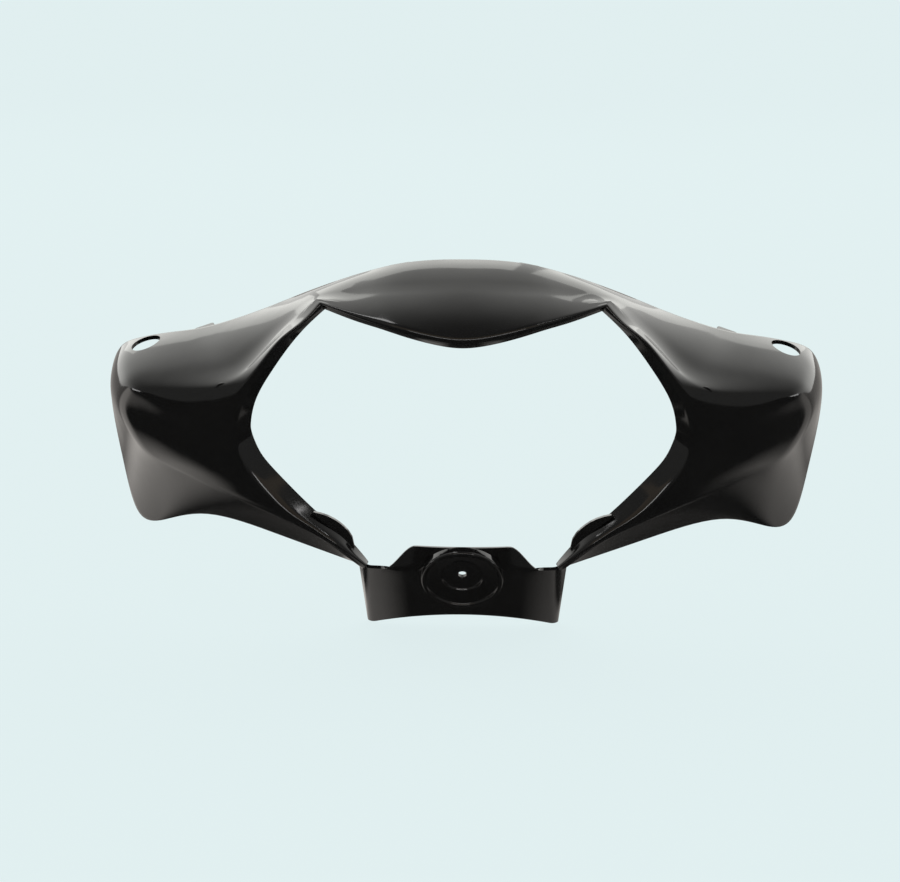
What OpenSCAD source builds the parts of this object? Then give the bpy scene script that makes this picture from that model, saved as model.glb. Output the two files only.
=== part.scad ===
// Headlight cowl for a scooter handlebar: one thin moulding with a large lamp
// opening, two wings that carry the mirror stem holes, and a screw apron below.
// X runs across the vehicle, the face looks along -Y and Z is up, in millimetres.
// The zero point is the middle of the seat for the apron's screw.

/* [Overall] */
// width across the two wing tips
cowl_w = 464; // [450:2:480]
// height from the shelf line of the apron to the crown of the hood
cowl_h = 191; // [184:1:198]
// depth from the hood's lip to the rear edges of the wings
cowl_d = 88; // [82:1:96]
// thickness of the moulded wall
wall = 2.5; // [2.2:0.1:3.0]

/* [Lamp opening] */
// tangent length of the soft fold where the face turns in round the lamp
rim_r = 4.5; // [3.5:0.5:6]
// tangent length of the soft shoulder along the top of a wing
shoulder_r = 15; // [10:1:18]
// tangent length of the crease below a wing's front face
crease_r = 4; // [3:0.5:6]
// how far the lamp lugs stand into the opening
lug_in = 5; // [4:0.5:6]
// thickness of the lamp lugs
lug_t = 2.5; // [2:0.5:3.5]

/* [Mirror stem holes] */
// diameter of each mirror stem hole
mirror_d = 18.5; // [16:0.5:19]
// distance of each hole's middle from the wing tip, measured across
mirror_in = 28; // [27:0.5:31]
// distance of each hole's middle from the wing's rear edge
mirror_front = 15; // [14.5:0.5:17]

/* [Apron] */
// width of the apron below the lamp
apron_w = 136; // [131:1:140]
// drop from the shelf line to the middle of the apron's lower edge
apron_drop = 43; // [40:1:47]
// how far the side returns of the apron run back
apron_return = 22; // [16:1:28]
// radius of the apron's upright corners
apron_r = 6; // [5:0.5:8]
// how far each side return flares outward on its way back
apron_flare = 4; // [2:0.5:5]
// rise of the shelf line from the middle out to the corners
shelf_rise = 5; // [3:0.5:6]
// width of the upright tongue at its top
tongue_w = 59; // [54:1:64]
// height of the tongue above the shelf line
tongue_h = 16; // [14:0.5:18]
// outer diameter of the sunk screw cup
cup_d = 48; // [45:1:51]
// diameter of the flat seat in the screw cup
seat_d = 25; // [20:1:28]
// depth of the seat below the apron's face
cup_deep = 5.5; // [5:0.5:7]
// diameter of the screw hole through the seat
screw_d = 5.5; // [4.5:0.5:7]

/* [Fixings behind] */
// outer diameter of the screw posts
post_d = 9; // [8:0.5:10]
// diameter of the pilot hole in each post
pilot_d = 3.4; // [2.5:0.1:4.5]
// length of the posts behind the wings
post_l = 26; // [22:1:32]
// length of the lamp posts behind the rim
lamp_post_l = 16; // [13:1:20]
// width of the locating tabs along the upper rear edge
tab_w = 14; // [10:1:18]
// how far the locating tabs stand out past the edge
tab_out = 6; // [4:0.5:8]

/* [Hidden] */
BLACK = [0.035, 0.035, 0.04];

// layout values of the apron as [y, z]: shelf line, top of the tongue and the
// lean of the lower panel from upright
SHELF = [-25, 9];
TONGUE = [-20, SHELF[1] + tongue_h];
LEAN = 30;
FOOT = SHELF[1] - apron_drop;
// middle of the cup's lip, its lean, a little less than the panel's, and the seat
CUP = [0, SHELF[0] + 3, SHELF[1] - 7];
CUP_LEAN = LEAN - 6;
SEAT = CUP + cup_deep * [0, cos(CUP_LEAN), sin(CUP_LEAN)];

// One row for each station from the middle of the hood down to the apron:
// inner edge of the rim, fold of the rim, shoulder or crease, outer edge.
// They are drawn at 464 wide, 191 high and 88 deep and follow the sizes asked for.
DRAWN = [
    [[0, -37, 160.5], [0, -42, 165.5], [0, -8, 191.5], [0, 24, 200]],
    [[17.5, -36, 162.5], [18, -41, 167.5], [18, -8, 190.5], [20, 24, 199.5]],
    [[35, -33.5, 166.5], [36, -38, 171.5], [38, -7, 189], [41, 24, 197]],
    [[49.5, -29, 170], [50.5, -33, 174.5], [55, -5, 187], [60, 25, 192]],
    [[65, -22.5, 173], [66.5, -26.5, 178], [73, -4, 184], [78, 26, 186]],
    [[83.5, -13.5, 177.5], [85, -18.5, 182.5], [92, -4, 181], [99, 27, 178]],
    [[93.5, -16, 168.6], [96, -22, 172], [107, -6, 168], [118, 28, 170]],
    [[104.5, -19, 156.5], [109.5, -25, 162], [120, -10, 153.5], [142, 30, 160.5]],
    [[117.5, -17.5, 138], [124.5, -25, 142], [138, -12, 137], [168, 36, 151.5]],
    [[127.5, -14.5, 120], [135.5, -23.5, 124], [168, -9, 130], [189, 41, 147]],
    [[131.2, -14, 105.5], [140.5, -22.5, 107.5], [200, -3, 125.5], [211, 44.5, 142]],
    [[131.2, -14, 99.8], [141.5, -22.5, 99], [211, 1, 120], [224, 46.5, 135]],
    [[130, -14, 95], [140.8, -22.5, 92], [217, 5, 110], [231, 47, 119]],
    [[126, -15, 85.7], [136, -23, 80.5], [213, 3, 96], [231.5, 44, 94]],
    [[119, -16, 76.3], [128, -24, 69.5], [200, -1, 79.5], [225, 36, 58]],
    [[109, -18, 65.8], [117, -26, 58.8], [180, -6, 69], [216, 26, 29]],
    [[97, -21, 54.3], [103, -29, 47.6], [157, -13, 60.5], [198, 14, 26.5]],
    [[84, -24, 43.2], [88, -31, 38.5], [127, -21, 50], [166, 10, 33]],
    [[72, -25, 33], [75, -32.5, 28.5], [95, -28, 37.5], [118, 4, 21]],
];
function sized(p) = [p[0] * cowl_w / 464, SHELF[0] + (p[1] - SHELF[0]) * cowl_d / 88,
    SHELF[1] + (p[2] - SHELF[1]) * cowl_h / 191];
// the last station ends inside the apron's side return, so it takes its place from there
SIDE = apron_w / 2;
RAILS = concat([for (row = DRAWN) [for (p = row) sized(p)]],
    [[[SIDE - 9, SHELF[0] + 2, SHELF[1] + 6.5], [SIDE - 8, SHELF[0] - 4, SHELF[1] + 6.5],
      [SIDE - 5, SHELF[0] - 2, SHELF[1] + 3], [SIDE - wall * 0.6, SHELF[0] + 21, SHELF[1] - 4]]]);

// length of the tangents that round the shoulder or crease at each station
SOFT = [8, 8, 8, 8, 8, 6, 8, 12, shoulder_r, shoulder_r, 12, 11, 9, crease_r + 2,
    crease_r, crease_r, crease_r, crease_r, crease_r, crease_r];
// how far the front face, then the top or chin face, bows outward at each station
BOW1 = [3.5, 3.4, 3, 2.4, 1.4, 0.3, 0.3, 0.5, 0.8, 1.5, 2.5, 2.8, 3, 3, 2.6, 2.2, 1.8, 1.2, 0.6, 0.2];
BOW2 = [2, 2, 2, 2, 2, 1.5, 2, 3, 4, 5, 5, 4, 3, 2, 1, 0, -2, -1.5, -1, -0.5];

SUB = 3;                        // steps between two stations
HALF = (len(RAILS) - 1) * SUB;  // steps from the hood's middle to the apron

// smooth curve through b and c at t from 0 to 1, led by a and d
function spline(a, b, c, d, t) =
    b + (c - a) * t / 2 + (a - 2.5 * b + 2 * c - d / 2) * t * t
    + (1.5 * (b - c) + (d - a) / 2) * t * t * t;
function flip(row) = [for (p = row) [-p[0], p[1], p[2]]];
function row(k) = k < 0 ? flip(RAILS[-k]) : RAILS[min(k, len(RAILS) - 1)];
function value(list, k) = list[min(abs(k), len(list) - 1)];
function part_of(i) = min(floor(i / SUB), len(RAILS) - 2);
function rails_at(i) = let (k = part_of(i), t = i / SUB - k)
    [for (r = [0:3]) spline(row(k - 1)[r], row(k)[r], row(k + 1)[r], row(k + 2)[r], t)];
function value_at(list, i) = let (k = part_of(i), t = i / SUB - k)
    spline(value(list, k - 1), value(list, k), value(list, k + 1), value(list, k + 2), t);
function unit(v) = v / norm(v);

// point and heading of the bowed line from p to q, whose bow is led by m
function bowed(p, m, q, t) = p * (1 - t) * (1 - t) + m * 2 * t * (1 - t) + q * t * t;
function heading(p, m, q, t) = unit((m - p) * (1 - t) + (q - m) * t);
// a smooth turn round the corner c, from p heading u to q heading v, in n steps
function turned(c, p, u, q, v, n) =
    let (p2 = p + u * norm(c - p) * 0.6, q2 = q - v * norm(q - c) * 0.6)
    [for (i = [0:n]) let (t = i / n, k = 1 - t)
        p * k * k * k + p2 * 3 * k * k * t + q2 * 3 * k * t * t + q * t * t * t];

// the section of the outer skin at step i, from the rim's inner edge outward
function section(i) =
    let (r = rails_at(i), a = r[0], b = r[1], c = r[2], d = r[3],
         soft = value_at(SOFT, i),
         along = rails_at(min(i + 0.5, HALF))[2] - rails_at(max(i - 0.5, 0))[2],
         m1 = (b + c) / 2 + unit(cross(along, c - b)) * value_at(BOW1, i) * 2,
         m2 = (c + d) / 2 + unit(cross(along, d - c)) * value_at(BOW2, i) * 2,
         t0 = min(rim_r / norm(c - b), 0.4),
         t1 = 1 - min(soft / norm(c - b), 0.45),
         t2 = min(soft / norm(d - c), 0.45),
         p0 = b + unit(a - b) * min(rim_r, norm(a - b) * 0.6))
    concat([a, (a + p0) / 2],
        turned(b, p0, unit(b - a), bowed(b, m1, c, t0), heading(b, m1, c, t0), 3),
        [for (k = [1:3]) bowed(b, m1, c, t0 + (t1 - t0) * k / 4)],
        turned(c, bowed(b, m1, c, t1), heading(b, m1, c, t1),
            bowed(c, m2, d, t2), heading(c, m2, d, t2), 4),
        [for (k = [1:4]) bowed(c, m2, d, t2 + (1 - t2) * k / 4)]);

half_skin = [for (i = [0:HALF]) section(i)];
// the whole ring, from the left end at the apron over the hood to the right end
skin = [for (i = [-HALF:HALF]) i < 0 ? flip(half_skin[-i]) : half_skin[i]];
N = len(skin) - 1;
M = len(skin[0]) - 1;
FACE = 7;  // section point in the middle of the front face
function normal(i, j) = unit(cross(
    skin[min(i + 1, N)][j] - skin[max(i - 1, 0)][j],
    skin[i][min(j + 1, M)] - skin[i][max(j - 1, 0)]));
function spot(i, j, side) = skin[HALF + side * i][j];
REAR = max([for (s = skin) s[M][1]]);

// the hood, wings and rim as one skin of even thickness
module shell() {
    w = M + 1;
    lining = [for (i = [0:N]) for (j = [0:M]) skin[i][j] - normal(i, j) * wall];
    outer = [for (s = skin) for (p = s) p];
    base = len(outer);
    // two triangles for each four-sided patch
    function patch(a, b, c, d) = [[a, b, c], [a, c, d]];
    polyhedron(convexity = 10, points = concat(outer, lining), faces = concat(
        [for (i = [0:N - 1]) for (j = [0:M - 1]) let (k = i * w + j)
            each patch(k, k + 1, k + w + 1, k + w)],
        [for (i = [0:N - 1]) for (j = [0:M - 1]) let (k = base + i * w + j)
            each patch(k, k + w, k + w + 1, k + 1)],
        [for (i = [0:N - 1]) let (k = i * w) each patch(k, k + w, base + k + w, base + k)],
        [for (i = [0:N - 1]) let (k = i * w + M) each patch(k, base + k, base + k + w, k + w)],
        [for (j = [0:M - 1]) each patch(j, base + j, base + j + 1, j + 1)],
        [for (j = [0:M - 1]) let (k = N * w + j) each patch(k, k + 1, base + k + 1, base + k)]));
}

// stands a side view drawn as [y, z] across the middle plane
module across(width) {
    rotate([90, 0, 90]) translate([0, 0, -width / 2]) linear_extrude(width) children();
}
// carries a front view drawn as [x, z] through the depth from y1 to y2
module through(y1, y2) {
    translate([0, y2, 0]) rotate([90, 0, 0]) linear_extrude(y2 - y1) children();
}

// plan of the apron: a shallow channel with rounded corners, g in from its face
function channel(g) =
    let (w = SIDE - apron_flare - g, r = apron_r - g, sag = 3,
         turn = atan(apron_flare / (apron_return - apron_r)))
    concat([[SIDE - g, apron_return]],
        [for (t = [turn:(90 - turn) / 5:90.1]) [w - r + r * cos(t), r + g - r * sin(t)]],
        [for (t = [0.25:0.25:1.75]) let (x = (w - r) * (1 - t)) [x, g + sag * (1 - pow(x / (w - r), 2))]],
        [for (t = [90:(90 - turn) / 5:180.1 - turn]) [r - w + r * cos(t), r + g - r * sin(t)]],
        [[g - SIDE, apron_return]]);

// lower panel of the apron with its side returns and arched lower edge
module apron_panel() {
    face = channel(0);
    back = channel(wall);
    intersection() {
        translate([0, SHELF[0], SHELF[1]]) rotate([LEAN, 0, 0]) translate([0, 0, -70])
            linear_extrude(76) polygon(concat(face, [for (i = [len(back) - 1:-1:0]) back[i]]));
        through(-60, 50) polygon(concat(
            [for (t = [-1:0.1:1]) [t * (SIDE + 5), FOOT - 6 * t * t]],
            [for (t = [1:-0.1:-1]) [t * SIDE, SHELF[1] + shelf_rise * t * t]]));
        // the side returns drop towards the rear and run out towards the foot
        across(apron_w + 10) polygon([[-60, SHELF[1] + 30], [SHELF[0] + 4, SHELF[1] + 30],
            [SHELF[0] + 4, SHELF[1] + 5.5], [SHELF[0] + apron_return, SHELF[1] - 1],
            [SHELF[0] + apron_drop * tan(LEAN) + 5, FOOT - 8], [-60, FOOT - 8]]);
    }
}

// upright tongue above the shelf line, with S shaped shoulders
module tongue() {
    half = tongue_w / 2;
    run = 20;
    base = SIDE - apron_flare - apron_r;
    drop = tongue_h - 1 - shelf_rise * pow((half + run) / SIDE, 2);
    shoulder = [for (t = [1:-0.125:0]) [half + run * t, TONGUE[1] - drop * (1 - cos(180 * t)) / 2]];
    intersection() {
        across(apron_w) polygon([SHELF, [SHELF[0] + wall, SHELF[1] - 1],
            [TONGUE[0] + wall, TONGUE[1] + 1], [TONGUE[0], TONGUE[1] + 1]]);
        through(-60, 40) polygon(concat([[-base, SHELF[1] - 5], [base, SHELF[1] - 5],
            [base, SHELF[1] + 3]], shoulder,
            [for (i = [len(shoulder) - 1:-1:0]) [-shoulder[i][0], shoulder[i][1]]],
            [[-base, SHELF[1] + 3]]));
    }
}

// wedge that carries the upper half of the screw cup, g in from its outside
module wedge(g) {
    half = cup_d * 0.635 - g * 1.6;
    top = TONGUE[1] - 1;
    intersection() {
        across(apron_w) translate([g * 1.15, 0]) polygon([
            [SHELF[0] + 0.5, SHELF[1] - 3 + g], [SHELF[0] - 1, SHELF[1]],
            [SHELF[0] - 1 - (top - SHELF[1]) * tan(CUP_LEAN), top - g],
            [TONGUE[0] + 1 + g * 3, top - g], [SHELF[0] + 1 + g * 3, SHELF[1] - 3 + g]]);
        through(-60, 40) polygon([[-half, SHELF[1] - 4 - g], [half, SHELF[1] - 4 - g],
            [half - 13, TONGUE[1]], [13 - half, TONGUE[1]]]);
    }
}

module at_cup() { translate(CUP) rotate([90 + CUP_LEAN, 0, 0]) children(); }

// bowl of the screw cup with its flat seat and the screw hole
module cup() {
    seat = seat_d / 2;
    lip = cup_d / 2;
    at_cup() rotate_extrude($fn = 48) polygon([[screw_d / 2, -cup_deep], [seat, -cup_deep],
        [seat + 0.8, 1.6 - cup_deep], [lip, -0.6], [lip + wall * 0.9, -0.6], [lip + wall, -5],
        [seat + 2, -cup_deep - wall], [screw_d / 2, -cup_deep - wall]]);
}

module apron() {
    difference() {
        union() {
            apron_panel();
            tongue();
            wedge(0);
        }
        wedge(wall);
        // the room in front of the bowl, with its edge inside the bowl's own wall
        at_cup() rotate_extrude($fn = 48) polygon([[0, -cup_deep - 9], [screw_d / 2 + 0.7, -cup_deep - 9],
            [screw_d / 2 + 0.7, -cup_deep - 1], [seat_d / 2 + 1, -cup_deep - 1],
            [cup_d / 2 + 0.8, -1.4], [cup_d / 2 + 0.8, 20], [0, 20]]);
    }
    cup();
}

// screw post that grows back from the front face at step i, and its pilot hole
module post(i, side, length) {
    translate(spot(i, FACE, side) + [0, wall * 0.8, 0]) rotate([-90, 0, 0])
        cylinder(h = length, d = post_d, $fn = 32);
}
module pilot(i, side, length) {
    translate(spot(i, FACE, side) + [0, wall * 2, 0]) rotate([-90, 0, 0])
        cylinder(h = length, d = pilot_d, $fn = 24);
}
// gusset that braces a post against the wall below it
module gusset(i, side, length) {
    translate(spot(i, FACE, side) + [-0.9, wall * 0.8, 0]) rotate([90, 0, 90]) linear_extrude(1.8)
        polygon([[0, 0], [0, -post_d * 1.25], [length * 0.8, -post_d / 2 + 0.3], [length * 0.8, 0]]);
}

// locating tab that runs back under the rear edge at step i and stands out past it
module edge_tab(i, side) {
    n = normal(HALF + side * i, M);
    grip = 7;
    translate(spot(i, M, side)) rotate([atan(-n[1] / n[2]), atan(n[0] / n[2]), 0])
        translate([-tab_w / 2, -grip, -wall - 1.4]) cube([tab_w, grip + tab_out, 2]);
}

// lamp lug: a flat plate that stands in from the lower side of the rim
module lamp_lug(side) {
    steps = [for (i = [49:55]) spot(i, 0, side)];
    stand = [0, 0.7, 1, 1, 0.8, 0.45, 0] * lug_in;
    back = min([for (p = steps) p[1]]);
    run = unit([steps[6][0] - steps[0][0], steps[6][2] - steps[0][2]]);
    into = side * [-run[1], run[0]];
    through(back - lug_t, back) polygon(concat(
        [for (k = [0:6]) [steps[k][0], steps[k][2]] - into * stand[k]],
        [for (k = [6:-1:0]) [steps[k][0], steps[k][2]] + into * 4]));
}

module mirror_hole(side) {
    translate([side * (cowl_w / 2 - mirror_in), REAR - mirror_front, 100])
        cylinder(h = 80, d = mirror_d, $fn = 48);
}

module cowl() {
    color(BLACK) translate(-SEAT) difference() {
        union() {
            difference() {
                shell();
                for (side = [-1, 1]) mirror_hole(side);
            }
            apron();
            for (side = [-1, 1]) {
                post(37, side, post_l);
                gusset(37, side, post_l);
                post(27, side, lamp_post_l);
                lamp_lug(side);
                for (i = [6, 15, 24]) edge_tab(i, side);
            }
        }
        for (side = [-1, 1]) {
            pilot(37, side, post_l);
            pilot(27, side, lamp_post_l);
        }
    }
}

cowl();
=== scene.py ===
import math

import bmesh
import bpy
from mathutils import Matrix, Vector


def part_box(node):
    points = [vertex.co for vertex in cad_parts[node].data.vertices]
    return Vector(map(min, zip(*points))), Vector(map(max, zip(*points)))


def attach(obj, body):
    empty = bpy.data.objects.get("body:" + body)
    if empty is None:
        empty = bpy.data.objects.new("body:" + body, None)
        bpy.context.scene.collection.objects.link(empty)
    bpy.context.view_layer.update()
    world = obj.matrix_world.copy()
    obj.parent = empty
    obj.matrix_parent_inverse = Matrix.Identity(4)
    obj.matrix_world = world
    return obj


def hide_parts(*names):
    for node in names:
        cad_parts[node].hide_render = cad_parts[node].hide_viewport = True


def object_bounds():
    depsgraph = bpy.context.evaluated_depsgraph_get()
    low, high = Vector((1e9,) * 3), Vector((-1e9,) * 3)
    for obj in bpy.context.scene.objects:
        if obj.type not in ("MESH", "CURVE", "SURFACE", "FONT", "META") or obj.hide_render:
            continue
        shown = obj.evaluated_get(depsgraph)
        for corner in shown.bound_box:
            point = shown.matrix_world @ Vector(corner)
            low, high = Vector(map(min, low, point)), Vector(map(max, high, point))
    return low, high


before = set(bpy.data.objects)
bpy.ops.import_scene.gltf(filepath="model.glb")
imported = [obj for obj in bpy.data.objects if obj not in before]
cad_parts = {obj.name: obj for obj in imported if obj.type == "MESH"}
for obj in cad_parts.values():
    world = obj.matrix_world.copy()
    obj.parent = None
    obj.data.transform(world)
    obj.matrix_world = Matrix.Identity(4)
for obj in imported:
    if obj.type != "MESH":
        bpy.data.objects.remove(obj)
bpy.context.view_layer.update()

scene = bpy.context.scene
scene.view_settings.view_transform = "Standard"
# the rows below are drawn in mm from the handlebar's middle; the frame's zero is the screw seat
seatSpot = Vector((0, -16.9755, 4.237))


def inFrame(x, y, z):
    return (Vector((x, y, z)) - seatSpot) / 1000


def mixed(a, b, t):
    return a * (1 - t) + b * t


def linearColour(code):
    parts = [int(code[i:i + 2], 16) / 255 for i in (1, 3, 5)]
    return [c / 12.92 if c <= 0.04045 else ((c + 0.055) / 1.055) ** 2.4 for c in parts] + [1]


# camera, at the photograph's viewing angle
view = {"azimuth": 1.5, "elevation": 20, "distance": 1.0, "target": (-0.0083, 0.01698, 0.08446), "lens": 63.5}


def makeCamera():
    data = bpy.data.cameras.new("camera")
    data.lens = view["lens"]
    data.sensor_width = 36
    data.sensor_fit = "HORIZONTAL"
    data.clip_end = 50
    camera = bpy.data.objects.new("camera", data)
    scene.collection.objects.link(camera)
    a, e = math.radians(view["azimuth"]), math.radians(view["elevation"])
    away = Vector((math.sin(a) * math.cos(e), -math.cos(a) * math.cos(e), math.sin(e)))
    turn = (-away).to_track_quat("-Z", "Y").to_matrix().to_4x4()
    camera.matrix_world = Matrix.Translation(Vector(view["target"]) + away * view["distance"]) @ turn
    scene.camera = camera


makeCamera()
print("camera placed")


def addNode(tree, kind, settings=None, links=None):
    # settings: property or input name -> value; links: input name -> output socket
    node = tree.nodes.new(kind)
    for key, value in (settings or {}).items():
        if isinstance(key, str) and hasattr(node, key):
            setattr(node, key, value)
        else:
            node.inputs[key].default_value = value
    for key, socket in (links or {}).items():
        tree.links.new(socket, node.inputs[key])
    return node


def newMaterial(name):
    material = bpy.data.materials.new(name)
    material.use_nodes = True
    material.node_tree.nodes.clear()
    return material, material.node_tree


# material: injection-moulded ABS straight from a polished mould, with no paint. It is deep black
# with a near mirror gloss, a very faint ripple from the melt's flow, fine handling swirls and a
# little dull dust on the faces. The swirls are drawn coarser than real ones, so that they show.
glossAbs = {
    "base": "#0b0b0c", "baseWorn": "#151414", "roughness": 0.075, "roughnessDusty": 0.17, "ior": 1.54,
    "cloudMm": 45, "dustFrom": 0.45, "dustTo": 0.78,
    "rippleMm": 16, "rippleDepth": 0.00012, "swirlMm": 1.3, "swirlDepth": 0.000003,
}


def makeGlossAbs():
    material, tree = newMaterial("glossBlackAbsMoulded")
    s = glossAbs
    coord = addNode(tree, "ShaderNodeTexCoord").outputs["Object"]
    cloud = addNode(tree, "ShaderNodeTexNoise", {
        "Scale": 1000 / s["cloudMm"], "Detail": 5.0, "Roughness": 0.62}, {"Vector": coord})
    dust = addNode(tree, "ShaderNodeMapRange", {
        "From Min": s["dustFrom"], "From Max": s["dustTo"], "To Min": s["roughness"],
        "To Max": s["roughnessDusty"]}, {"Value": cloud.outputs["Fac"]})
    tone = addNode(tree, "ShaderNodeMix", {
        "data_type": "RGBA", "A": linearColour(s["base"]), "B": linearColour(s["baseWorn"])},
        {"Factor": cloud.outputs["Fac"]})
    ripple = addNode(tree, "ShaderNodeTexNoise", {
        "Scale": 1000 / s["rippleMm"], "Detail": 1.0}, {"Vector": coord})
    wave = addNode(tree, "ShaderNodeBump", {"Strength": 1.0, "Distance": s["rippleDepth"]},
                   {"Height": ripple.outputs["Fac"]})
    swirl = addNode(tree, "ShaderNodeTexNoise", {
        "Scale": 1000 / s["swirlMm"], "Detail": 3.0, "Distortion": 1.5}, {"Vector": coord})
    fine = addNode(tree, "ShaderNodeBump", {"Strength": 1.0, "Distance": s["swirlDepth"]},
                   {"Height": swirl.outputs["Fac"], "Normal": wave.outputs["Normal"]})
    shader = addNode(tree, "ShaderNodeBsdfPrincipled", {"IOR": s["ior"]}, {
        "Base Color": tone.outputs[2], "Roughness": dust.outputs["Result"], "Normal": fine.outputs["Normal"]})
    addNode(tree, "ShaderNodeOutputMaterial", None, {"Surface": shader.outputs["BSDF"]})
    return material


blackAbs = makeGlossAbs()
print("material made")


# the skin: hood, wings, chins and rim as one ring of sections
skin = {
    "wall": 0.0025, "rimRound": 4.5, "levels": 3, "edgeRound": 0.00022,
    # inner edge of the rim, fold of the rim, shoulder or crease, outer edge
    "rows": [
        [(0, -37, 160.5), (0, -42, 165.5), (0, -8, 191.5), (0, 24, 200)],
        [(17.5, -36, 162.5), (18, -41, 167.5), (18, -8, 190.5), (20, 24, 199.5)],
        [(35, -33.5, 166.5), (36, -38, 171.5), (38, -7, 189), (41, 24, 197)],
        [(49.5, -29, 170), (50.5, -33, 174.5), (55, -5, 187), (60, 25, 192)],
        [(65, -22.5, 173), (66.5, -26.5, 178), (73, -4, 184), (78, 26, 186)],
        [(83.5, -13.5, 177.5), (85, -18.5, 182.5), (92, -4, 181), (99, 27, 178)],
        [(93.5, -16, 168.6), (96, -22, 172), (107, -6, 168), (118, 28, 170)],
        [(104.5, -19, 156.5), (109.5, -25, 162), (120, -10, 153.5), (142, 30, 160.5)],
        [(117.5, -17.5, 138), (124.5, -25, 142), (138, -12, 137), (168, 36, 151.5)],
        [(127.5, -14.5, 120), (135.5, -23.5, 124), (168, -9, 130), (189, 41, 147)],
        [(131.2, -14, 105.5), (140.5, -22.5, 107.5), (200, -3, 125.5), (211, 44.5, 142)],
        [(131.2, -14, 99.8), (141.5, -22.5, 99), (211, 1, 120), (224, 46.5, 135)],
        [(130, -14, 95), (140.8, -22.5, 92), (217, 5, 110), (231, 47, 119)],
        [(126, -15, 85.7), (136, -23, 80.5), (213, 3, 96), (231.5, 44, 94)],
        [(119, -16, 76.3), (128, -24, 69.5), (200, -1, 79.5), (225, 36, 58)],
        [(109, -18, 65.8), (117, -26, 58.8), (180, -6, 69), (216, 26, 29)],
        [(97, -21, 54.3), (103, -29, 47.6), (157, -13, 60.5), (198, 14, 26.5)],
        [(84, -24, 43.2), (88, -31, 38.5), (127, -21, 50), (166, 10, 33)],
        [(72, -25, 33), (75, -32.5, 28.5), (95, -28, 37.5), (118, 4, 21)],
        [(59, -23, 15.5), (60, -29, 15.5), (63, -27, 12), (66.5, -4, 5)],
    ],
    # length of the tangents that round the shoulder, and the bows of face and top
    "soft": [8, 8, 8, 8, 8, 6, 8, 12, 15, 15, 12, 11, 9, 6, 4, 4, 4, 4, 4, 4],
    "faceBow": [3.5, 3.4, 3, 2.4, 1.4, 0.3, 0.3, 0.5, 0.8, 1.5, 2.5, 2.8, 3, 3, 2.6, 2.2, 1.8, 1.2, 0.6, 0.2],
    "topBow": [2, 2, 2, 2, 2, 1.5, 2, 3, 4, 5, 5, 4, 3, 2, 1, 0, -2, -1.5, -1, -0.5],
    "cornerPull": 0.6, "fitPasses": 8,
    # the hood's corner: its row, how many edges it reaches over, and how sharp it starts
    "vertexRow": 5, "vertexReach": 9, "vertexSharp": 1.6,
}
# in metres, from the wing's tip and its rear edge
mirrorHole = {
    "diameter": 0.0185, "fromTip": 0.028, "fromRear": 0.015, "height": 0.14, "reach": 0.08, "segments": 64,
}


def mirrored(points):
    return [Vector((-p.x, p.y, p.z)) for p in points]


def bowed(p, lead, q, t):
    return p * (1 - t) ** 2 + lead * 2 * t * (1 - t) + q * t * t


def sectionPoints(k):
    # the section at one row, from the rim's inner edge to the outer edge
    rows = skin["rows"]
    inner, fold, shoulder, edge = [Vector(p) for p in rows[k]]
    after = Vector(rows[min(k + 1, len(rows) - 1)][2])
    before = Vector(rows[k - 1][2]) if k else mirrored([Vector(rows[1][2])])[0]
    along = after - before
    soft, pull = skin["soft"][k], skin["cornerPull"]
    faceLead = (fold + shoulder) / 2 + along.cross(shoulder - fold).normalized() * skin["faceBow"][k] * 2
    topLead = (shoulder + edge) / 2 + along.cross(edge - shoulder).normalized() * skin["topBow"][k] * 2
    t0 = min(skin["rimRound"] / (shoulder - fold).length, 0.4)
    t1 = 1 - min(soft / (shoulder - fold).length, 0.45)
    t2 = min(soft / (edge - shoulder).length, 0.45)
    turnIn = fold + (inner - fold).normalized() * min(skin["rimRound"], (inner - fold).length * 0.6)
    turnOut = bowed(fold, faceLead, shoulder, t0)
    softIn = bowed(fold, faceLead, shoulder, t1)
    softOut = bowed(shoulder, topLead, edge, t2)
    points = [inner, mixed(inner, turnIn, 0.5), turnIn]
    points += [mixed(turnIn, fold, pull), mixed(turnOut, fold, pull), turnOut]
    points += [bowed(fold, faceLead, shoulder, t0 + (t1 - t0) * n / 4) for n in (1, 2, 3)]
    points += [softIn, mixed(softIn, shoulder, pull), mixed(softOut, shoulder, pull), softOut]
    points += [bowed(shoulder, topLead, edge, t2 + (1 - t2) * n / 3) for n in (1, 2, 3)]
    return [inFrame(*p) for p in points]


def vertexCrease(k, j):
    # the hood's corner is sharp at the rim and fades out over the face
    sharp = skin["vertexSharp"] * (1 - j / skin["vertexReach"])
    return max(0, min(1, sharp)) if k == skin["vertexRow"] else 0


def fittedRows():
    # moves the cage rows out so that the subdivided surface passes through the drawn rows
    wanted = [sectionPoints(k) for k in range(len(skin["rows"]))]
    cage = [[p.copy() for p in row] for row in wanted]
    for _ in range(skin["fitPasses"]):
        lastRows = [[p.copy() for p in row] for row in cage]
        for k in range(len(cage) - 1):
            before = lastRows[k - 1] if k else mirrored(lastRows[1])
            for j, p in enumerate(lastRows[k]):
                soft = (before[j] + p * 4 + lastRows[k + 1][j]) / 6
                reached = mixed(soft, p, vertexCrease(k, j))
                cage[k][j] = p + wanted[k][j] - reached
    return cage


def newObject(name, bm):
    mesh = bpy.data.meshes.new(name)
    bm.to_mesh(mesh)
    bm.free()
    made = bpy.data.objects.new(name, mesh)
    scene.collection.objects.link(made)
    return made


def addModifier(piece, kind, **settings):
    modifier = piece.modifiers.new(kind.lower(), kind)
    for key, value in settings.items():
        setattr(modifier, key, value)
    return modifier


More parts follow.
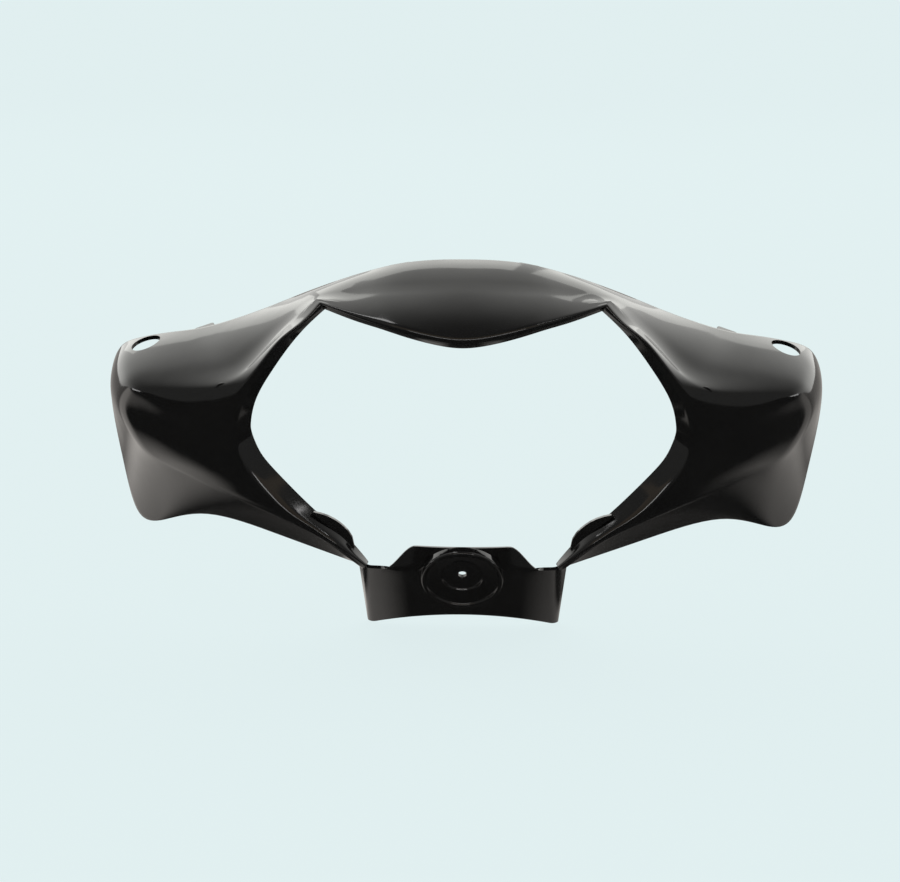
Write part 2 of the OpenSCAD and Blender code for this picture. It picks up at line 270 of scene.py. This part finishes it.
def applied(piece):
    # the piece's modifiers are made part of its mesh
    graph = bpy.context.evaluated_depsgraph_get()
    mesh = bpy.data.meshes.new_from_object(piece.evaluated_get(graph))
    piece.modifiers.clear()
    old, piece.data = piece.data, mesh
    bpy.data.meshes.remove(old)
    return piece


def joined(piece, other, operation="UNION"):
    addModifier(piece, "BOOLEAN", object=other, operation=operation, solver="EXACT")
    applied(piece)
    bpy.data.objects.remove(other)
    return piece


def finishPiece(piece, sharpAngle=32):
    piece.data.shade_smooth()
    piece.data.set_sharp_from_angle(angle=math.radians(sharpAngle))
    piece.data.materials.clear()
    piece.data.materials.append(blackAbs)
    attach(piece, "root")
    print(piece.name, len(piece.data.polygons), "faces")
    return piece


def makeSkin():
    rows = fittedRows()
    bm = bmesh.new()
    crease = bm.edges.layers.float.new("crease_edge")
    chain = [bm.verts.new(p) for p in rows[0]]
    edges = [bm.edges.new(pair) for pair in zip(chain, chain[1:])]
    for k, row in enumerate(rows[1:], 1):
        if k == skin["vertexRow"] + 1:
            sharp = edges[:skin["vertexReach"]]
        chain, edges = growChain(bm, chain, edges, row)
    for n, edge in enumerate(sharp):
        edge[crease] = vertexCrease(skin["vertexRow"], n)
    mirrorAcross(bm)
    faceForward(bm)
    piece = newObject("cowlMoulding", bm)
    addModifier(piece, "SUBSURF", levels=skin["levels"], render_levels=skin["levels"])
    addModifier(piece, "SOLIDIFY", thickness=skin["wall"], offset=-1)
    addModifier(piece, "BEVEL", width=skin["edgeRound"], segments=2, limit_method="ANGLE",
                angle_limit=math.radians(60), use_clamp_overlap=False, profile=0.5, affect="EDGES", material=-1)
    applied(piece)
    cutMirrorHoles(piece)
    return piece


def cutMirrorHoles(piece):
    s = mirrorHole
    lowest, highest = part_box("cowl")
    bm = bmesh.new()
    for side in (-1, 1):
        spot = Vector((side * (highest.x - s["fromTip"]), highest.y - s["fromRear"], s["height"]))
        bmesh.ops.create_cone(bm, cap_ends=True, segments=s["segments"], radius1=s["diameter"] / 2,
                              radius2=s["diameter"] / 2, depth=s["reach"], matrix=Matrix.Translation(spot))
    joined(piece, newObject("mirrorHoleCutter", bm), "DIFFERENCE")


def growChain(bm, chain, edges, points):
    # extrudes the open chain once and puts its new verts on the points
    grown = bmesh.ops.extrude_edge_only(bm, edges=edges)["geom"]
    fresh = {v for v in grown if isinstance(v, bmesh.types.BMVert)}
    chain = [next(e.other_vert(v) for e in v.link_edges if e.other_vert(v) in fresh) for v in chain]
    for v, p in zip(chain, points):
        v.co = p
    return chain, [bm.edges.get(pair) for pair in zip(chain, chain[1:])]


def mirrorAcross(bm):
    bmesh.ops.mirror(bm, geom=bm.verts[:] + bm.edges[:] + bm.faces[:], axis="X", merge_dist=0.00001)
    bmesh.ops.remove_doubles(bm, verts=bm.verts[:], dist=0.00001)
    bmesh.ops.recalc_face_normals(bm, faces=bm.faces[:])


def faceForward(bm):
    bm.normal_update()
    front = max(bm.faces, key=lambda f: abs(f.normal.y) * f.calc_area())
    if front.normal.y > 0:
        bmesh.ops.reverse_faces(bm, faces=bm.faces[:])


# the apron below the lamp: leaning panel and upright tongue in one sheet,
# a hollow wedge that stands out of it, and the sunk screw cup
apron = {
    "width": 137, "shelf": (-25, 9), "shelfRise": 5, "lean": 30, "drop": 43, "arch": 8.5, "sideReturn": 22,
    "cornerRound": 6, "flare": 5, "sag": 3, "wall": 2.5, "rows": 10, "cornerSteps": 8,
    "foldRound": 0.0025, "foldSteps": 5,
    "returnTop": (0, 0.34, 0.94),  # normal of the plane that ends the side returns above
    "rearFall": (7, 11),           # slope of the plane that ends them behind: added height, depth
}
tongue = {"width": 59, "run": 20, "top": (-20, 25), "sag": 1.0, "rows": 6, "columns": 26}
wedge = {
    "half": 31.5, "taper": 18, "top": 21.5, "roofFall": 4, "ridgeRound": 0.0018, "spare": 6,
    # the side view's corners: how far behind the shelf's front line, and how far below the shelf
    "lowFront": 4.9, "front": 2.7, "roofFront": 0.25, "lowBack": 5.6, "below": 3,
    "halfBelow": 4,  # the half width is taken this far below the shelf
}
cup = {
    "width": 48, "seat": 25, "deep": 5.5, "screw": 5.5, "middle": (-22, 2), "lean": 24, "steps": 96,
    "screwEdge": 0.3, "bowlSag": 0.35, "skirt": 5, "underSeat": 2,
    # radius from the seat's edge, and height over the seat
    "seatStep": [(-0.6, 0), (0, 0.15), (0.5, 0.6), (0.9, 1.3), (1.6, 1.8)],
    # radius from the lip, and height over the cup's plane
    "lip": [(-2.0, -1.77), (-1.25, -1.42), (-0.75, -0.93), (-0.4, -0.37), (0, 0.05), (0.5, 0.27),
            (1.2, 0.26), (1.8, -0.03), (2.25, -0.71), (2.43, -1.63)],
}
# how far the cutter reaches past the cup's own faces
cupRoom = {"screw": 0.7, "seat": 1, "lip": 0.8, "lipDeep": 1.4, "behind": 9, "ahead": 20}


def shelfHeight(x):
    return apron["shelf"][1] + apron["shelfRise"] * (2 * x / apron["width"]) ** 2


def footHeight(x):
    return apron["shelf"][1] - apron["drop"] - apron["arch"] * (x / (apron["width"] / 2 + 5)) ** 2


def apronSpot(x, depth, height):
    # a point of the leaning panel: depth behind its face, height in the front view
    lean = math.radians(apron["lean"])
    shelfY, shelfZ = apron["shelf"]
    return inFrame(x, shelfY + depth / math.cos(lean) - (height - shelfZ) * math.tan(lean), height)


def apronPlan():
    # half of the panel's plan from the middle out: x and depth
    half, r = apron["width"] / 2 - apron["flare"], apron["cornerRound"]
    reach = tongue["width"] / 2 + tongue["run"]
    places = [reach * n / tongue["columns"] for n in range(tongue["columns"])]
    places += [mixed(reach, half - r, n / 4) for n in range(4)]
    plan = [(x, apron["sag"] * (1 - (x / (half - r)) ** 2)) for x in places]
    turn = math.atan2(apron["sideReturn"] - r, apron["flare"])
    for n in range(apron["cornerSteps"] + 1):
        t = turn * n / apron["cornerSteps"]
        plan.append((half - r + r * math.sin(t), r - r * math.cos(t)))
    end = Vector((apron["width"] / 2, apron["sideReturn"]))
    return plan + [tuple(mixed(Vector(plan[-1]), end, n / 5)) for n in range(1, 6)]


def tongueHeight(x):
    # S shaped shoulders on both sides of a slightly dished top
    half, top = tongue["width"] / 2, tongue["top"][1]
    if x <= half:
        return top - tongue["sag"] * (1 - (x / half) ** 2)
    t = min((x - half) / tongue["run"], 1)
    return mixed(top, shelfHeight(half + tongue["run"]), (1 - math.cos(math.pi * t)) / 2)


def panelColumn(x, depth):
    # from the foot up the leaning panel, round the soft fold at the shelf line and up the tongue
    foot, shelf = apronSpot(x, depth, footHeight(x)), apronSpot(x, depth, shelfHeight(x))
    rows = apron["rows"]
    if x > tongue["width"] / 2 + tongue["run"] + 0.01:
        return [mixed(foot, shelf, n / rows) for n in range(rows + 1)]
    height = tongueHeight(x)
    full = (height - shelfHeight(x)) / (tongue["top"][1] - shelfHeight(x))
    top = inFrame(x, tongue["top"][0], height)
    top.y = mixed(shelf.y, top.y, full)
    r = min(apron["foldRound"], (top - shelf).length * 0.45)
    low, high = shelf + (foot - shelf).normalized() * r, shelf + (top - shelf).normalized() * r
    column = [mixed(foot, low, n / rows) for n in range(rows + 1)]
    column += [bowed(low, shelf, high, n / apron["foldSteps"]) for n in range(1, apron["foldSteps"] + 1)]
    return column + [mixed(high, top, n / tongue["rows"]) for n in range(1, tongue["rows"] + 1)]


def makePanel():
    columns = [panelColumn(x, depth) for x, depth in apronPlan()]
    bm = bmesh.new()
    chain = [bm.verts.new(column[0]) for column in columns]
    edges = [bm.edges.new(pair) for pair in zip(chain, chain[1:])]
    for n in range(1, len(columns[0])):
        points = [column[n] for column in columns if n < len(column)]
        chain, edges = growChain(bm, chain[:len(points)], edges[:len(points) - 1], points)
    mirrorAcross(bm)
    # the side returns drop towards the rear and run out towards the foot
    shelfY, shelfZ = apron["shelf"]
    rear = inFrame(0, shelfY + apron["sideReturn"], shelfZ - 1)
    corner = (apron["width"] / 2 - apron["flare"] - apron["cornerRound"]) / 1000
    sides = [f for f in bm.faces if min(abs(v.co.x) for v in f.verts) > corner - 0.0001]
    parts = sides + list({e for f in sides for e in f.edges}) + list({v for f in sides for v in f.verts})
    bmesh.ops.bisect_plane(bm, geom=parts, plane_co=rear, plane_no=Vector(apron["returnTop"]), clear_outer=True)
    more, deeper = apron["rearFall"]
    bmesh.ops.bisect_plane(bm, geom=bm.verts[:] + bm.edges[:] + bm.faces[:], plane_co=rear,
                           plane_no=Vector((0, apron["drop"] + more, deeper)).normalized(), clear_outer=True)
    faceForward(bm)
    piece = newObject("apronPanel", bm)
    addModifier(piece, "SOLIDIFY", thickness=apron["wall"] / 1000, offset=-1)
    return applied(piece)


def slabMesh(bm, outline, thick):
    # a flat outline of frame points made a slab by one extrusion
    face = bm.faces.new([bm.verts.new(p) for p in outline])
    grown = bmesh.ops.extrude_face_region(bm, geom=[face])["geom"]
    fresh = [v for v in grown if isinstance(v, bmesh.types.BMVert)]
    bmesh.ops.translate(bm, verts=fresh, vec=thick)
    return fresh + list(face.verts)


def makeWedge(inset):
    # side view extruded across, then cut to a taper by two slanting planes; with an inset
    # it is the hollow, whose sloping faces move in by more than the inset to keep a full wall
    w = wedge
    shelfY, shelfZ = apron["shelf"]
    top, low = w["top"] - inset, shelfZ - w["below"] + inset
    overhang = (w["top"] - shelfZ) * math.tan(math.radians(cup["lean"]))
    profile = [(shelfY + w["lowFront"], low), (shelfY + w["front"], shelfZ),
               (shelfY + w["roofFront"] - overhang, top),
               (tongue["top"][0] + 1 + inset * 3, w["top"] - w["roofFall"] - inset),
               (shelfY + w["lowBack"] + inset * 1.5, low)]
    reach = w["half"] + w["spare"]
    bm = bmesh.new()
    slabMesh(bm, [inFrame(-reach, y + inset * 1.15, z) for y, z in profile], Vector((2 * reach / 1000, 0, 0)))
    for side in (-1, 1):
        foot = inFrame(side * (w["half"] - inset * 1.6), 0, shelfZ - w["halfBelow"] - inset)
        rise = tongue["top"][1] - shelfZ + w["halfBelow"] + inset
        slant = Vector((side * rise, 0, w["taper"])).normalized()
        bmesh.ops.bisect_plane(bm, geom=bm.verts[:] + bm.edges[:] + bm.faces[:], plane_co=foot,
                               plane_no=slant, clear_outer=True)
        bmesh.ops.holes_fill(bm, edges=bm.edges[:])
    bmesh.ops.recalc_face_normals(bm, faces=bm.faces[:])
    if not inset:
        # the ridges are the slanting edges at both sides of the front face
        front = inFrame(0, shelfY + w["front"] + 0.1, shelfZ)
        ridges = [e for e in bm.edges if all(v.co.y < front.y for v in e.verts)
                  and abs(e.verts[0].co.z - e.verts[1].co.z) > 0.002]
        bmesh.ops.bevel(bm, geom=ridges, offset=w["ridgeRound"], segments=5, profile=0.5,
                        affect="EDGES", material=-1)
    return newObject("cupWedge", bm)


def spun(name, profile):
    # a profile of radius and height in mm, spun round the cup's axis, which leans a little less than the panel
    y, z = cup["middle"]
    bm = bmesh.new()
    chain = [bm.verts.new((r / 1000, 0, h / 1000)) for r, h in profile]
    closing = [] if profile[0][0] == 0 else chain[:1]  # a profile that ends on the axis stays open
    edges = [bm.edges.new(pair) for pair in zip(chain, chain[1:] + closing)]
    bmesh.ops.spin(bm, geom=chain + edges, cent=(0, 0, 0), axis=(0, 0, 1), dvec=(0, 0, 0),
                   angle=2 * math.pi, steps=cup["steps"], use_merge=True)
    bmesh.ops.remove_doubles(bm, verts=bm.verts[:], dist=0.000001)
    place = Matrix.Translation(inFrame(0, y, z)) @ Matrix.Rotation(math.radians(90 + cup["lean"]), 4, "X")
    bmesh.ops.transform(bm, matrix=place, verts=bm.verts[:])
    bmesh.ops.recalc_face_normals(bm, faces=bm.faces[:])
    return newObject(name, bm)


def spunCup():
    # from the screw's hole out over the seat and the bowl to the lip, and back underneath
    deep, seat, lip, screw = cup["deep"], cup["seat"] / 2, cup["width"] / 2, cup["screw"] / 2
    wall, edge = apron["wall"], cup["screwEdge"]
    profile = [(screw, -deep - edge), (screw + edge, -deep)]
    profile += [(seat + r, -deep + h) for r, h in cup["seatStep"]]
    profile += [(mixed(seat, lip, 0.5), -deep / 2 - cup["bowlSag"])]
    profile += [(lip + r, h) for r, h in cup["lip"]]
    profile += [(lip + wall, -cup["skirt"]), (seat + cup["underSeat"], -deep - wall), (screw, -deep - wall)]
    return spun("screwCup", profile)


def cupCutter():
    seat, lip = cup["seat"] / 2, cup["width"] / 2 + cupRoom["lip"]
    screw = cup["screw"] / 2 + cupRoom["screw"]
    low, back, ahead = -cup["deep"] - cupRoom["seat"], -cup["deep"] - cupRoom["behind"], cupRoom["ahead"]
    return spun("cupCutter", [
        (0, back), (screw, back), (screw, low), (seat + cupRoom["seat"], low),
        (lip, -cupRoom["lipDeep"]), (lip, ahead), (0, ahead)])


def makeApron():
    piece = makePanel()
    joined(piece, makeWedge(0))
    joined(piece, makeWedge(apron["wall"]), "DIFFERENCE")
    joined(piece, cupCutter(), "DIFFERENCE")
    return joined(piece, spunCup())


# fixings behind: screw posts with gussets, locating tabs, and the lamp lugs in the opening
fixings = {
    # posts by row, with their lengths; they stand on this point of the row's section
    "posts": {12.333: 26, 9: 16}, "facePoint": 7, "postWidth": 9, "pilotWidth": 3.4, "sunk": 0.8,
    # the gusset's foot in post widths, and its run as a share of the post
    "gussetRow": 12.333, "gussetThick": 1.8, "gussetFoot": 1.25, "gussetRun": 0.8, "gussetLap": 0.0003,
    "tabRows": (2, 5, 8), "tabWidth": 14, "tabGrip": 7, "tabOut": 6, "tabThick": 2,
    "tabRound": 0.002, "tabUnder": 0.0004,
    "lugRows": (16.333, 18.333), "lugThick": 2.5, "lugGrip": 0.0014,
    "lugStand": (0, 0.0022, 0.0038, 0.0047, 0.005, 0.0049, 0.0042, 0.003, 0),
}


def pointAt(row, n, side=1):
    # point n of the section at a place between two rows
    k = int(row)
    spot = mixed(sectionPoints(k)[n], sectionPoints(k + 1)[n], row - k)
    return Vector((side * spot.x, spot.y, spot.z))


def postSolid(bm, width, foot, length):
    middle, radius = foot + Vector((0, length / 2000, 0)), width / 2000
    bmesh.ops.create_cone(bm, cap_ends=True, segments=48, radius1=radius, radius2=radius, depth=length / 1000,
                          matrix=Matrix.Translation(middle) @ Matrix.Rotation(math.radians(-90), 4, "X"))


def makeFixings(side):
    s, wall = fixings, skin["wall"]
    bm = bmesh.new()
    for row, length in s["posts"].items():
        foot = pointAt(row, s["facePoint"], side) + Vector((0, wall * s["sunk"], 0))
        postSolid(bm, s["postWidth"], foot, length)
    for row in s["tabRows"]:
        edge, inner = pointAt(row, -1, side), pointAt(row, -2, side)
        along = pointAt(row + 0.5, -1, side) - pointAt(row - 0.5, -1, side)
        up = along.cross(edge - inner).normalized()
        up = up if up.z > 0 else -up
        back = (Vector((0, 1, 0)) - up * up.y).normalized()
        turn = Matrix((back.cross(up), back, up)).transposed().to_4x4()
        deep = (s["tabGrip"] + s["tabOut"]) / 1000
        size = Matrix.Diagonal((s["tabWidth"] / 1000, deep, s["tabThick"] / 1000, 1))
        shift = Matrix.Translation((0, (s["tabOut"] - s["tabGrip"]) / 2000, -wall - s["tabUnder"]))
        tab = bmesh.ops.create_cube(bm, size=1, matrix=Matrix.Translation(edge) @ turn @ shift @ size)["verts"]
        corners = [e for e in {e for v in tab for e in v.link_edges}
                   if abs((e.verts[0].co - e.verts[1].co).normalized().dot(up)) > 0.9]
        bmesh.ops.bevel(bm, geom=corners, offset=s["tabRound"], segments=4, profile=0.5,
                        affect="EDGES", material=-1)
    # the lug is a flat plate along the lower side of the rim
    first, last = s["lugRows"]
    stand = s["lugStand"]
    line = [pointAt(mixed(first, last, n / (len(stand) - 1)), 0, side) for n in range(len(stand))]
    front = min(p.y for p in line) - s["lugThick"] / 1000
    run = (line[-1] - line[0]).normalized()
    into = Vector((-run.z, 0, run.x)).normalized() * side
    outline = [p - into * out for p, out in zip(line, stand)]
    outline += [p + into * s["lugGrip"] for p in reversed(line)]
    slabMesh(bm, [Vector((p.x, front, p.z)) for p in outline], Vector((0, s["lugThick"] / 1000, 0)))
    bmesh.ops.recalc_face_normals(bm, faces=bm.faces[:])
    return newObject("fixings", bm)


def makeGusset(side):
    s, wall = fixings, skin["wall"]
    foot = pointAt(s["gussetRow"], s["facePoint"], side)
    foot += Vector((-s["gussetThick"] / 2000, wall * s["sunk"], 0))
    run, width = s["posts"][s["gussetRow"]] / 1000 * s["gussetRun"], s["postWidth"] / 1000
    outline = [(0, 0), (0, -width * s["gussetFoot"]), (run, -width / 2 + s["gussetLap"]), (run, 0)]
    bm = bmesh.new()
    slabMesh(bm, [foot + Vector((0, y, z)) for y, z in outline], Vector((s["gussetThick"] / 1000, 0, 0)))
    bmesh.ops.recalc_face_normals(bm, faces=bm.faces[:])
    return newObject("gusset", bm)


def makePilots():
    bm = bmesh.new()
    for side in (-1, 1):
        for row, length in fixings["posts"].items():
            foot = pointAt(row, fixings["facePoint"], side) + Vector((0, skin["wall"] * 2, 0))
            postSolid(bm, fixings["pilotWidth"], foot, length)
    return newObject("pilots", bm)


def cleaned(piece):
    # drops the specks that the booleans leave behind
    bm = bmesh.new()
    bm.from_mesh(piece.data)
    bmesh.ops.dissolve_degenerate(bm, edges=bm.edges[:], dist=0.000002)
    bmesh.ops.delete(bm, geom=[v for v in bm.verts if not v.link_faces], context="VERTS")
    bm.to_mesh(piece.data)
    bm.free()
    return piece


cowl = makeSkin()
print("skin made")
for side in (-1, 1):
    joined(cowl, makeFixings(side))
    joined(cowl, makeGusset(side))
joined(cowl, makePilots(), "DIFFERENCE")
print("fixings made")
joined(cowl, makeApron())
finishPiece(cleaned(cowl))
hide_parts("cowl")
print("apron made")


# floor, world and lamps
paleBack = "#e1eff0"
room = {
    "floorSize": 6, "floorGap": 0.0005, "floorGlow": 1.0, "floorShare": 0.95,
    # brightness of the world from front to back and towards the sides: where each ramp starts
    # and ends on the unit heading, and its two values
    "depth": (-0.45, 0.55, 0.14, 1.4), "sides": (0.15, 0.6, 0.0, 0.9), "softTone": "#f2f2ee",
}
# painted reflection: how bright the gloss sees the floor, by place; the floor glows in this pattern only for
# glossy rays, which paints lighter and darker reflections onto the moulding: axis, where a ramp starts and
# ends, and its two values
paintedFloorReflection = {
    "tone": "#f4efe9",
    "ramps": {
        "back": ("Y", 0.03, 0.3, 0.05, 0.5),
        "left": ("X", -0.18, -0.3, 0.0, 1.8), "right": ("X", 0.22, 0.33, 0.0, 1.0),
        "underLeft": ("X", -0.03, -0.06, 0.0, 0.85), "underRight": ("X", 0.03, 0.065, 0.0, 0.55),
        "leftEnd": ("X", -0.1, -0.075, 0.0, 1.0), "rightEnd": ("X", 0.085, 0.065, 0.0, 1.0),
        "nearEnd": ("Y", -0.14, -0.02, 0.0, 1.0), "farEnd": ("Y", 0.24, 0.12, 0.25, 1.0),
    },
    "mixes": [
        ("wide", "MAXIMUM", "left", "right"), ("under", "MAXIMUM", "underLeft", "underRight"),
        ("ends", "MULTIPLY", "leftEnd", "rightEnd"), ("under", "MULTIPLY", "under", "ends"),
        ("reach", "MULTIPLY", "nearEnd", "farEnd"), ("wide", "MAXIMUM", "wide", "under"),
        ("wide", "MULTIPLY", "wide", "reach"), ("whole", "MAXIMUM", "back", "wide"),
    ],
}


def makeFloor():
    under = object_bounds()[0].z - room["floorGap"]
    bm = bmesh.new()
    bmesh.ops.create_grid(bm, x_segments=1, y_segments=1, size=room["floorSize"],
                          matrix=Matrix.Translation((0, 0, under)))
    floor = newObject("floor", bm)
    material, tree = newMaterial("palePaperFloor")
    path = addNode(tree, "ShaderNodeLightPath")
    paper = addNode(tree, "ShaderNodeBsdfDiffuse", {"Color": linearColour(paleBack)})
    glow = addNode(tree, "ShaderNodeEmission", {"Color": linearColour(paleBack), "Strength": room["floorGlow"]})
    coord = addNode(tree, "ShaderNodeTexCoord").outputs["Object"]
    place = addNode(tree, "ShaderNodeSeparateXYZ", None, {0: coord})
    parts = {}
    for name, (axis, low, high, start, end) in paintedFloorReflection["ramps"].items():
        parts[name] = addNode(tree, "ShaderNodeMapRange", {
            "interpolation_type": "SMOOTHSTEP", "From Min": low, "From Max": high,
            "To Min": start, "To Max": end}, {"Value": place.outputs[axis]}).outputs["Result"]
    for name, operation, one, other in paintedFloorReflection["mixes"]:
        mix = addNode(tree, "ShaderNodeMath", {"operation": operation}, {0: parts[one], 1: parts[other]})
        parts[name] = mix.outputs[0]
    # painted reflection: an emission that only glossy rays see, brighter or darker by place as the ramps give
    tone = linearColour(paintedFloorReflection["tone"])
    paintedReflectionGlow = addNode(tree, "ShaderNodeEmission", {"Color": tone}, {"Strength": parts["whole"]})
    share = addNode(tree, "ShaderNodeMath", {"operation": "MULTIPLY", 1: room["floorShare"]},
                    {0: path.outputs["Is Camera Ray"]})
    plain = addNode(tree, "ShaderNodeMixShader", None,
                    {0: share.outputs[0], 1: paper.outputs[0], 2: glow.outputs[0]})
    both = addNode(tree, "ShaderNodeMixShader", None,
                   {0: path.outputs["Is Glossy Ray"], 1: plain.outputs[0], 2: paintedReflectionGlow.outputs[0]})
    addNode(tree, "ShaderNodeOutputMaterial", None, {"Surface": both.outputs[0]})
    floor.data.materials.append(material)


def makeWorld():
    world = bpy.data.worlds.new("softRoom")
    scene.world = world
    world.use_nodes = True
    tree = world.node_tree
    tree.nodes.clear()
    path = addNode(tree, "ShaderNodeLightPath")
    heading = addNode(tree, "ShaderNodeTexCoord").outputs["Generated"]
    axes = addNode(tree, "ShaderNodeSeparateXYZ", None, {0: heading})
    # dark room in front of the object, pale wall behind it, brighter towards the sides
    aside = addNode(tree, "ShaderNodeMath", {"operation": "ABSOLUTE"}, {0: axes.outputs["X"]})
    levels = {}
    for name, part in (("depth", axes.outputs["Y"]), ("sides", aside.outputs[0])):
        low, high, start, end = room[name]
        levels[name] = addNode(tree, "ShaderNodeMapRange", {
            "interpolation_type": "SMOOTHSTEP", "From Min": low, "From Max": high,
            "To Min": start, "To Max": end}, {"Value": part}).outputs["Result"]
    level = addNode(tree, "ShaderNodeMath", {"operation": "MULTIPLY_ADD"},
                    {0: levels["sides"], 1: levels["depth"], 2: levels["depth"]})
    tone = linearColour(room["softTone"])
    soft = addNode(tree, "ShaderNodeBackground", {"Color": tone}, {"Strength": level.outputs[0]})
    back = addNode(tree, "ShaderNodeBackground", {"Color": linearColour(paleBack), "Strength": 1.0})
    both = addNode(tree, "ShaderNodeMixShader", None,
                   {0: path.outputs["Is Camera Ray"], 1: soft.outputs[0], 2: back.outputs[0]})
    addNode(tree, "ShaderNodeOutputWorld", None, {"Surface": both.outputs[0]})


def addLamp(name, spot, aim, size, radiance, colour):
    # radiance is how bright the lamp's face looks, where 1 is white
    data = bpy.data.lights.new(name, "AREA")
    data.shape = "RECTANGLE"
    data.size, data.size_y = size
    data.energy = radiance * math.pi * size[0] * size[1]
    data.color = linearColour(colour)[:3]
    lamp = bpy.data.objects.new(name, data)
    scene.collection.objects.link(lamp)
    turn = (Vector(aim) - Vector(spot)).to_track_quat("-Z", "Y").to_matrix().to_4x4()
    lamp.matrix_world = Matrix.Translation(spot) @ turn


# name, place, aim, size, radiance, colour
lamps = [
    ("ceilingLamp", (-0.5, -0.2, 1.6), (0, 0, 0.1), (0.5, 0.18), 5.0, "#ffffff"),
    ("warmRoom", (0.0, -1.6, 1.2), (0, 0, 0.1), (2.4, 0.8), 0.25, "#ffdcae"),
    ("frontStrip", (0.1, -2.05, 0.8), (0, 0, 0.1), (1.7, 0.16), 5.0, "#ffffff"),
    ("glintRight", (0.76, -0.9, 1.4), (0, 0, 0.1), (0.16, 0.05), 7.0, "#ffffff"),
    ("glintLeft", (-0.9, -0.63, 1.45), (0, 0, 0.1), (0.16, 0.05), 6.0, "#ffffff"),
    ("lowRight", (1.6, -0.42, 0.08), (0, 0, 0.05), (0.5, 0.15), 4.0, "#ffffff"),
    ("lowLeft", (-1.6, -0.42, 0.08), (0, 0, 0.05), (0.5, 0.15), 4.0, "#ffffff"),
]
windows = {
    "across": (-1.3, -0.22, 0.9), "behind": 1.9, "height": 1.1, "aim": 0.1,
    "size": (0.96, 1.1), "radiance": 1.2, "colour": "#fbfcf6",
}


def addWindows():
    w = windows
    for n, x in enumerate(w["across"]):
        spot, aim = (x, w["behind"], w["height"]), (x, 0, w["aim"])
        addLamp("backWindow%d" % n, spot, aim, w["size"], w["radiance"], w["colour"])


makeFloor()
makeWorld()
addWindows()
for lamp in lamps:
    addLamp(*lamp)
print("room made")
